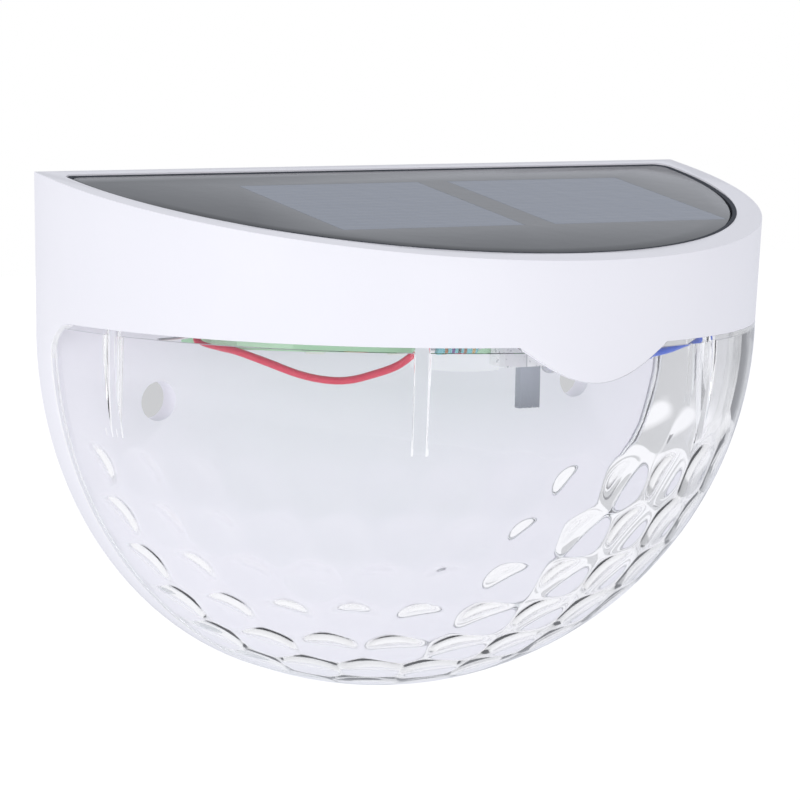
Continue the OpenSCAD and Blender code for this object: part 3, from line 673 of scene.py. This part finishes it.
tube("lead_red", [
    (-41.4, -18.8, 13.3), (-43.2, -19, 13.4), (-44.8, -19.8, 12.7), (-45.3, -21.8, 11.6),
    (-44.5, -26, 11.1), (-43.7, -30, 10.8), (-40.2, -33.5, 9.3), (-36, -36, 7.6),
    (-32.4, -38.2, 6.75), (-29.2, -40.2, 6.75), (-26, -42.4, 7.75), (-22.9, -44.7, 9.2),
    (-21.2, -46.9, 11.25), (-20.2, -47.4, 12.15), (-19.4, -47.4, 12.15),
], 1.2, red, "wire_red", "board_lead_red")
tube("panel_red", [
    (4, -42, 29.3), (4, -42, 27.1), (0, -41.5, 23), (-6, -40, 18), (-9, -40, 15.5), (-9, -40, 13.5),
], 1.2, red, "wire_red", "panel_wire_red")
tube("panel_blue", [
    (9, -42, 29.3), (9, -42, 27.5), (11.5, -43, 25.4), (20, -45.5, 23.6), (30, -46.5, 20),
    (36.5, -45.5, 15.5), (38, -44.2, 12), (36.6, -44, 10.8), (34.2, -44.4, 10.2),
    (31.5, -44.8, 9.6), (28.5, -45.2, 9.2), (25, -45.6, 9), (18.2, -46.5, 8.4),
    (10.3, -47.6, 8), (6.5, -48.1, 8), (4.3, -48.6, 8.3), (3.3, -48.6, 9.4),
], 1.2, blue, "wire_blue", "panel_wire_blue")
tube("cell_red", [
    (25.6, -24, 16.4), (27.2, -24, 16.4), (28.8, -25, 16), (29.6, -27.3, 15.4),
    (29.6, -28, 14.6), (29.6, -28, 14), (29.6, -28, 13.5),
], 1.2, red, "wire_red", "battery_wire_red")
tube("cell_black", [
    (-24.4, -24, 16.4), (-26.4, -24, 16.4), (-28.6, -25, 16), (-29.6, -27.3, 15.4),
    (-29.6, -28, 14.6), (-29.6, -28, 14), (-29.6, -28, 13.5),
], 1.2, black, "wire_black", "battery_wire_black")
tube("trimmed_lead", [
    (-39.8, -18.4, 13.1), (-41.6, -18, 13), (-44.6, -17.9, 12.5), (-47.8, -17.9, 12.1),
    (-50.8, -18, 12),
], 0.6, tin, "tinned_metal")

# Resistor. A lacquered body with colour bands on tinned leads, bridging from the red lead's
# solder blob back onto the board.
RESISTOR_X = -13.6
teal = Finish("resistor_teal")
where, x, y, z = teal.place()
coat = teal.mix(teal.noise(where, 0.8, 2.0), (0.1, 0.42, 0.47), (0.15, 0.5, 0.54))
for middle, colour in (
    (-2.6, (0.3, 0.12, 0.02)), (-1.1, (0.1, 0.02, 0.2)), (0.1, (0.02, 0.015, 0.012)),
    (1.2, (0.25, 0.1, 0.03)), (2.7, (0.45, 0.3, 0.08)),
):
    coat = teal.mix((x - (RESISTOR_X + middle)).size().below(0.3), coat, colour)
bare = (x - RESISTOR_X).size().above(3.95).either((y + 47.4).above(1.3))
teal.show(teal.skin(
    teal.mix(bare, coat, (0.75, 0.75, 0.76)),
    metallic=bare,
    roughness=bare * 0.05 + 0.2,
    coat_weight=0.4,
    normal=teal.bump(teal.noise(where, 2.0, 2.0), 0.02),
))
dress(nodes["resistor"], teal)

# Slide switch. A grey plastic body in a bright pressed shell hangs in front of the board, its
# tinned pins lying on it, with a darker lever that slides along the wall and reaches down.
SHELL_X = -1.9
switch_grey = Finish("switch_grey")
where, x, y, z = switch_grey.place()
grain = switch_grey.noise(where, 2.5, 3.0)
shell = x.above(SHELL_X)
case = switch_grey.mix(
    shell, switch_grey.mix(grain, (0.8, 0.8, 0.82), (0.86, 0.86, 0.88)), (0.97, 0.97, 0.98),
)
specks = switch_grey.noise(where, 1.3, 4.0).above(0.62) * 0.55
seam = (x - SHELL_X).size().below(0.13) * 0.5
switch_grey.show(switch_grey.skin(
    switch_grey.mix(specks.either(seam), case, (0.3, 0.31, 0.34)), roughness=grain * 0.15 + 0.3,
    normal=switch_grey.bump(grain, 0.03),
))
switch = own_copy("switch_case", "switch_body")
round_edges(switch, 0.2, angle=50)
fit(switch, "lamp", switch_grey, "switch_grey", "switch_body")

lever_grey = Finish("lever_grey")
where, x, y, z = lever_grey.place()
grain = lever_grey.noise(where, 1.6, 3.0)
# Painted shade: the lever's grey runs from dark at its foot, z 2 mm and below, to lighter at z 9 mm and
# above.
lever_grey.show(lever_grey.skin(
    lever_grey.mix(
        ((z - 2.0) / 7.0).math("MINIMUM", 1.0), (0.22, 0.24, 0.28), (0.44, 0.47, 0.53)
    ),
    roughness=grain * 0.12 + 0.32,
    normal=lever_grey.bump(grain, 0.03),
))
lever = own_copy("switch_slider", "switch_lever")
for notch in (-1.3, -0.4, 0.5, 1.4):
    cut(lever, bar("notch", [
        (notch - 0.35, 1.9), (notch, 2.5), (notch + 0.35, 1.9)
    ], -50, -47, True))
round_edges(lever, 0.15, angle=50)
fit(lever, "lever", lever_grey, "lever_grey", "switch_lever")
pins = own_copy("switch_pins", "switch_terminals")
round_edges(pins, 0.08, angle=50)
fit(pins, "lamp", tin, "tinned_metal", "switch_terminals")

glue = Finish("hot_glue")
where, x, y, z = glue.place()
milk = glue.noise(where, 0.6, 3.0)
glue.show(glue.skin(
    glue.mix(milk, (0.8, 0.8, 0.8), (0.9, 0.9, 0.9)), roughness=milk * 0.1 + 0.25, ior=1.48,
    normal=glue.bump(milk, 0.3), transmission_weight=0.45,
))
bpy.ops.mesh.primitive_uv_sphere_add(
    segments=32, ring_count=16, radius=MM, location=Vector((3.5, -49.7, 9.3)) * MM
)
blob = bpy.context.object
blob.name = "glue_blob"
blob.scale = (1.9, 1.0, 1.8)
bpy.ops.object.transform_apply(location=True, rotation=True, scale=True)
bpy.ops.object.shade_smooth()
fit(blob, "lamp", glue, "clear_plastic")

# Driver chip and coil. A black moulded chip on its legs, and a ferrite bobbin wound with
# copper wire, both soldered on top of the board.
chip_black = Finish("chip_black")
where, x, y, z = chip_black.place()
legs = z.below(13.99)
dust = chip_black.noise(where, 5.0, 3.0)
chip_black.show(chip_black.skin(
    chip_black.mix(legs, (0.012, 0.012, 0.013), (0.7, 0.7, 0.71)), metallic=legs,
    roughness=dust * 0.15 + 0.45 - legs * 0.2, normal=chip_black.bump(dust, 0.02),
))
dress(nodes["driver_chip"], chip_black)
coil = Finish("ferrite_and_copper")
where, x, y, z = coil.place()
wound = z.between(13.65, 16.55)
turns = z.lines(0.35, 0.24)
speck = coil.noise(where, 4.0, 3.0)
coil.show(coil.skin(
    coil.mix(
        wound, coil.mix(speck, (0.03, 0.032, 0.03), (0.06, 0.065, 0.06)),
        coil.mix(turns, (0.12, 0.03, 0.01), (0.6, 0.24, 0.09)),
    ),
    metallic=wound * turns,
    roughness=speck * 0.15 + 0.4 - wound * 0.15,
    normal=coil.bump(turns * wound, 0.08),
))
bobbin = own_copy("coil_bobbin", "inductor")
round_edges(bobbin, 0.15, angle=50)
fit(bobbin, "lamp", coil, "ferrite", "inductor")

# Battery. One cell in green shrink wrap with a bare button and welded nickel tabs, stuck to
# the board with foam tape.
wrap = Finish("green_wrap")
where, x, y, z = wrap.place()
crease = wrap.noise(where, 0.7, 4.0)
cap = x.size().above(23.4)
wrap.show(wrap.skin(
    wrap.mix(
        cap,
        wrap.mix(
            (x - 19).size().below(1.1),
            wrap.mix(crease, (0.03, 0.26, 0.06), (0.05, 0.36, 0.09)), (0.75, 0.76, 0.74),
        ),
        (0.5, 0.5, 0.5),
    ),
    metallic=cap,
    roughness=crease * 0.12 + 0.22,
    normal=wrap.bump(crease, 0.05),
))
battery = own_copy("battery_cell", "battery")
round_edges(battery, 0.7, angle=50, segments=4)
fit(battery, "lamp", wrap, "battery_green", "battery")
nickel = metal("nickel_strip", (0.74, 0.72, 0.68), 0.25, 2.0)
for name, cad_name, width in (("button_cap", "battery_button", 0.3), ("tab_pair", "battery_tabs", 0.08)):
    piece = own_copy(name, cad_name)
    round_edges(piece, width, angle=50)
    fit(piece, "lamp", nickel, "tinned_metal", cad_name)

# Studio. A pale floor well below the lamp, a white surround and two soft lights in front, as
# round a small product on a table.
bpy.ops.object.select_all(action="DESELECT")
bpy.ops.mesh.primitive_plane_add(size=8.0, location=(0, 0, -0.4))
floor = bpy.context.object
floor.name = "floor"
SURROUND = (
    ("Is Glossy Ray", (0.69, 0.71, 0.765)),
    ("Is Transmission Ray", (0.58, 0.585, 0.595)),
    ("Is Camera Ray", (1.0, 1.0, 1.0)),
)
paper = Finish("floor_paper")
where, x, y, z = paper.place()
away = (x * x + y * y).math("SQRT")
near = ((2800.0 - away) / 800.0).math("MAXIMUM", 0.0).math("MINIMUM", 1.0)
dark_card = (x / away).between(0.79, 0.9) * y.above(0.0) * away.above(2000.0)
shown = paper.node("AddShader", None, {
    0: paper.node("BsdfDiffuse", None, {"Color": (0.85, 0.85, 0.86)}),
    1: paper.node("Emission", None, {"Strength": 0.15}),
})
for kind, colour in SURROUND:
    if kind == "Is Transmission Ray":
        colour = paper.mix(dark_card, paper.mix(near, colour, (1.0, 1.0, 1.02)), (0.14, 0.14, 0.145))
        lit = paper.node("Emission", None, {"Color": colour, "Strength": 1.0})
    else:
        lit = paper.node("AddShader", None, {
            0: paper.node("BsdfDiffuse", None, {"Color": tuple(c * 0.45 for c in colour)}),
            1: paper.node("Emission", None, {"Color": colour, "Strength": 0.7}),
        })
    ray = paper.node("LightPath", out=kind)
    shown = paper.node("MixShader", None, {0: ray, 1: shown, 2: lit})
from_below = paper.node("NewGeometry", out="Backfacing")
through = paper.node("BsdfTransparent")
paper.show(paper.node("MixShader", None, {0: from_below, 1: shown, 2: through}))
dress(floor, paper)

surround = bpy.data.worlds.new("surround")
bpy.context.scene.world = surround
surround.use_nodes = True
tree = surround.node_tree
tree.nodes.clear()
rays = tree.nodes.new("ShaderNodeLightPath")
shown = tree.nodes.new("ShaderNodeBackground")
shown.inputs[0].default_value = (0.965, 0.968, 1.0, 1.0)
shown.inputs[1].default_value = 0.8
for kind, colour in SURROUND:
    sky = tree.nodes.new("ShaderNodeBackground")
    sky.inputs[0].default_value = (*colour, 1.0)
    blend = tree.nodes.new("ShaderNodeMixShader")
    tree.links.new(rays.outputs[kind], blend.inputs[0])
    tree.links.new(shown.outputs[0], blend.inputs[1])
    tree.links.new(sky.outputs[0], blend.inputs[2])
    shown = blend
out = tree.nodes.new("ShaderNodeOutputWorld")
tree.links.new(shown.outputs[0], out.inputs[0])

for name, bearing, rise, power in (("left_softbox", -72, 4, 5.2), ("front_softbox", -10, -8, 4.5)):
    lamp = bpy.data.objects.new(name, bpy.data.lights.new(name, "AREA"))
    bpy.context.scene.collection.objects.link(lamp)
    lamp.data.shape = "SQUARE"
    lamp.data.size = 0.8
    lamp.data.energy = power
    lamp.visible_glossy = False
    turn, lift = math.radians(bearing), math.radians(rise)
    lamp.location = Vector((
        math.sin(turn) * math.cos(lift), -math.cos(turn) * math.cos(lift), math.sin(lift)
    )) * 1.7
    lamp.rotation_euler = (-lamp.location).to_track_quat("-Z", "Y").to_euler()

bpy.context.scene.view_settings.view_transform = "Standard"
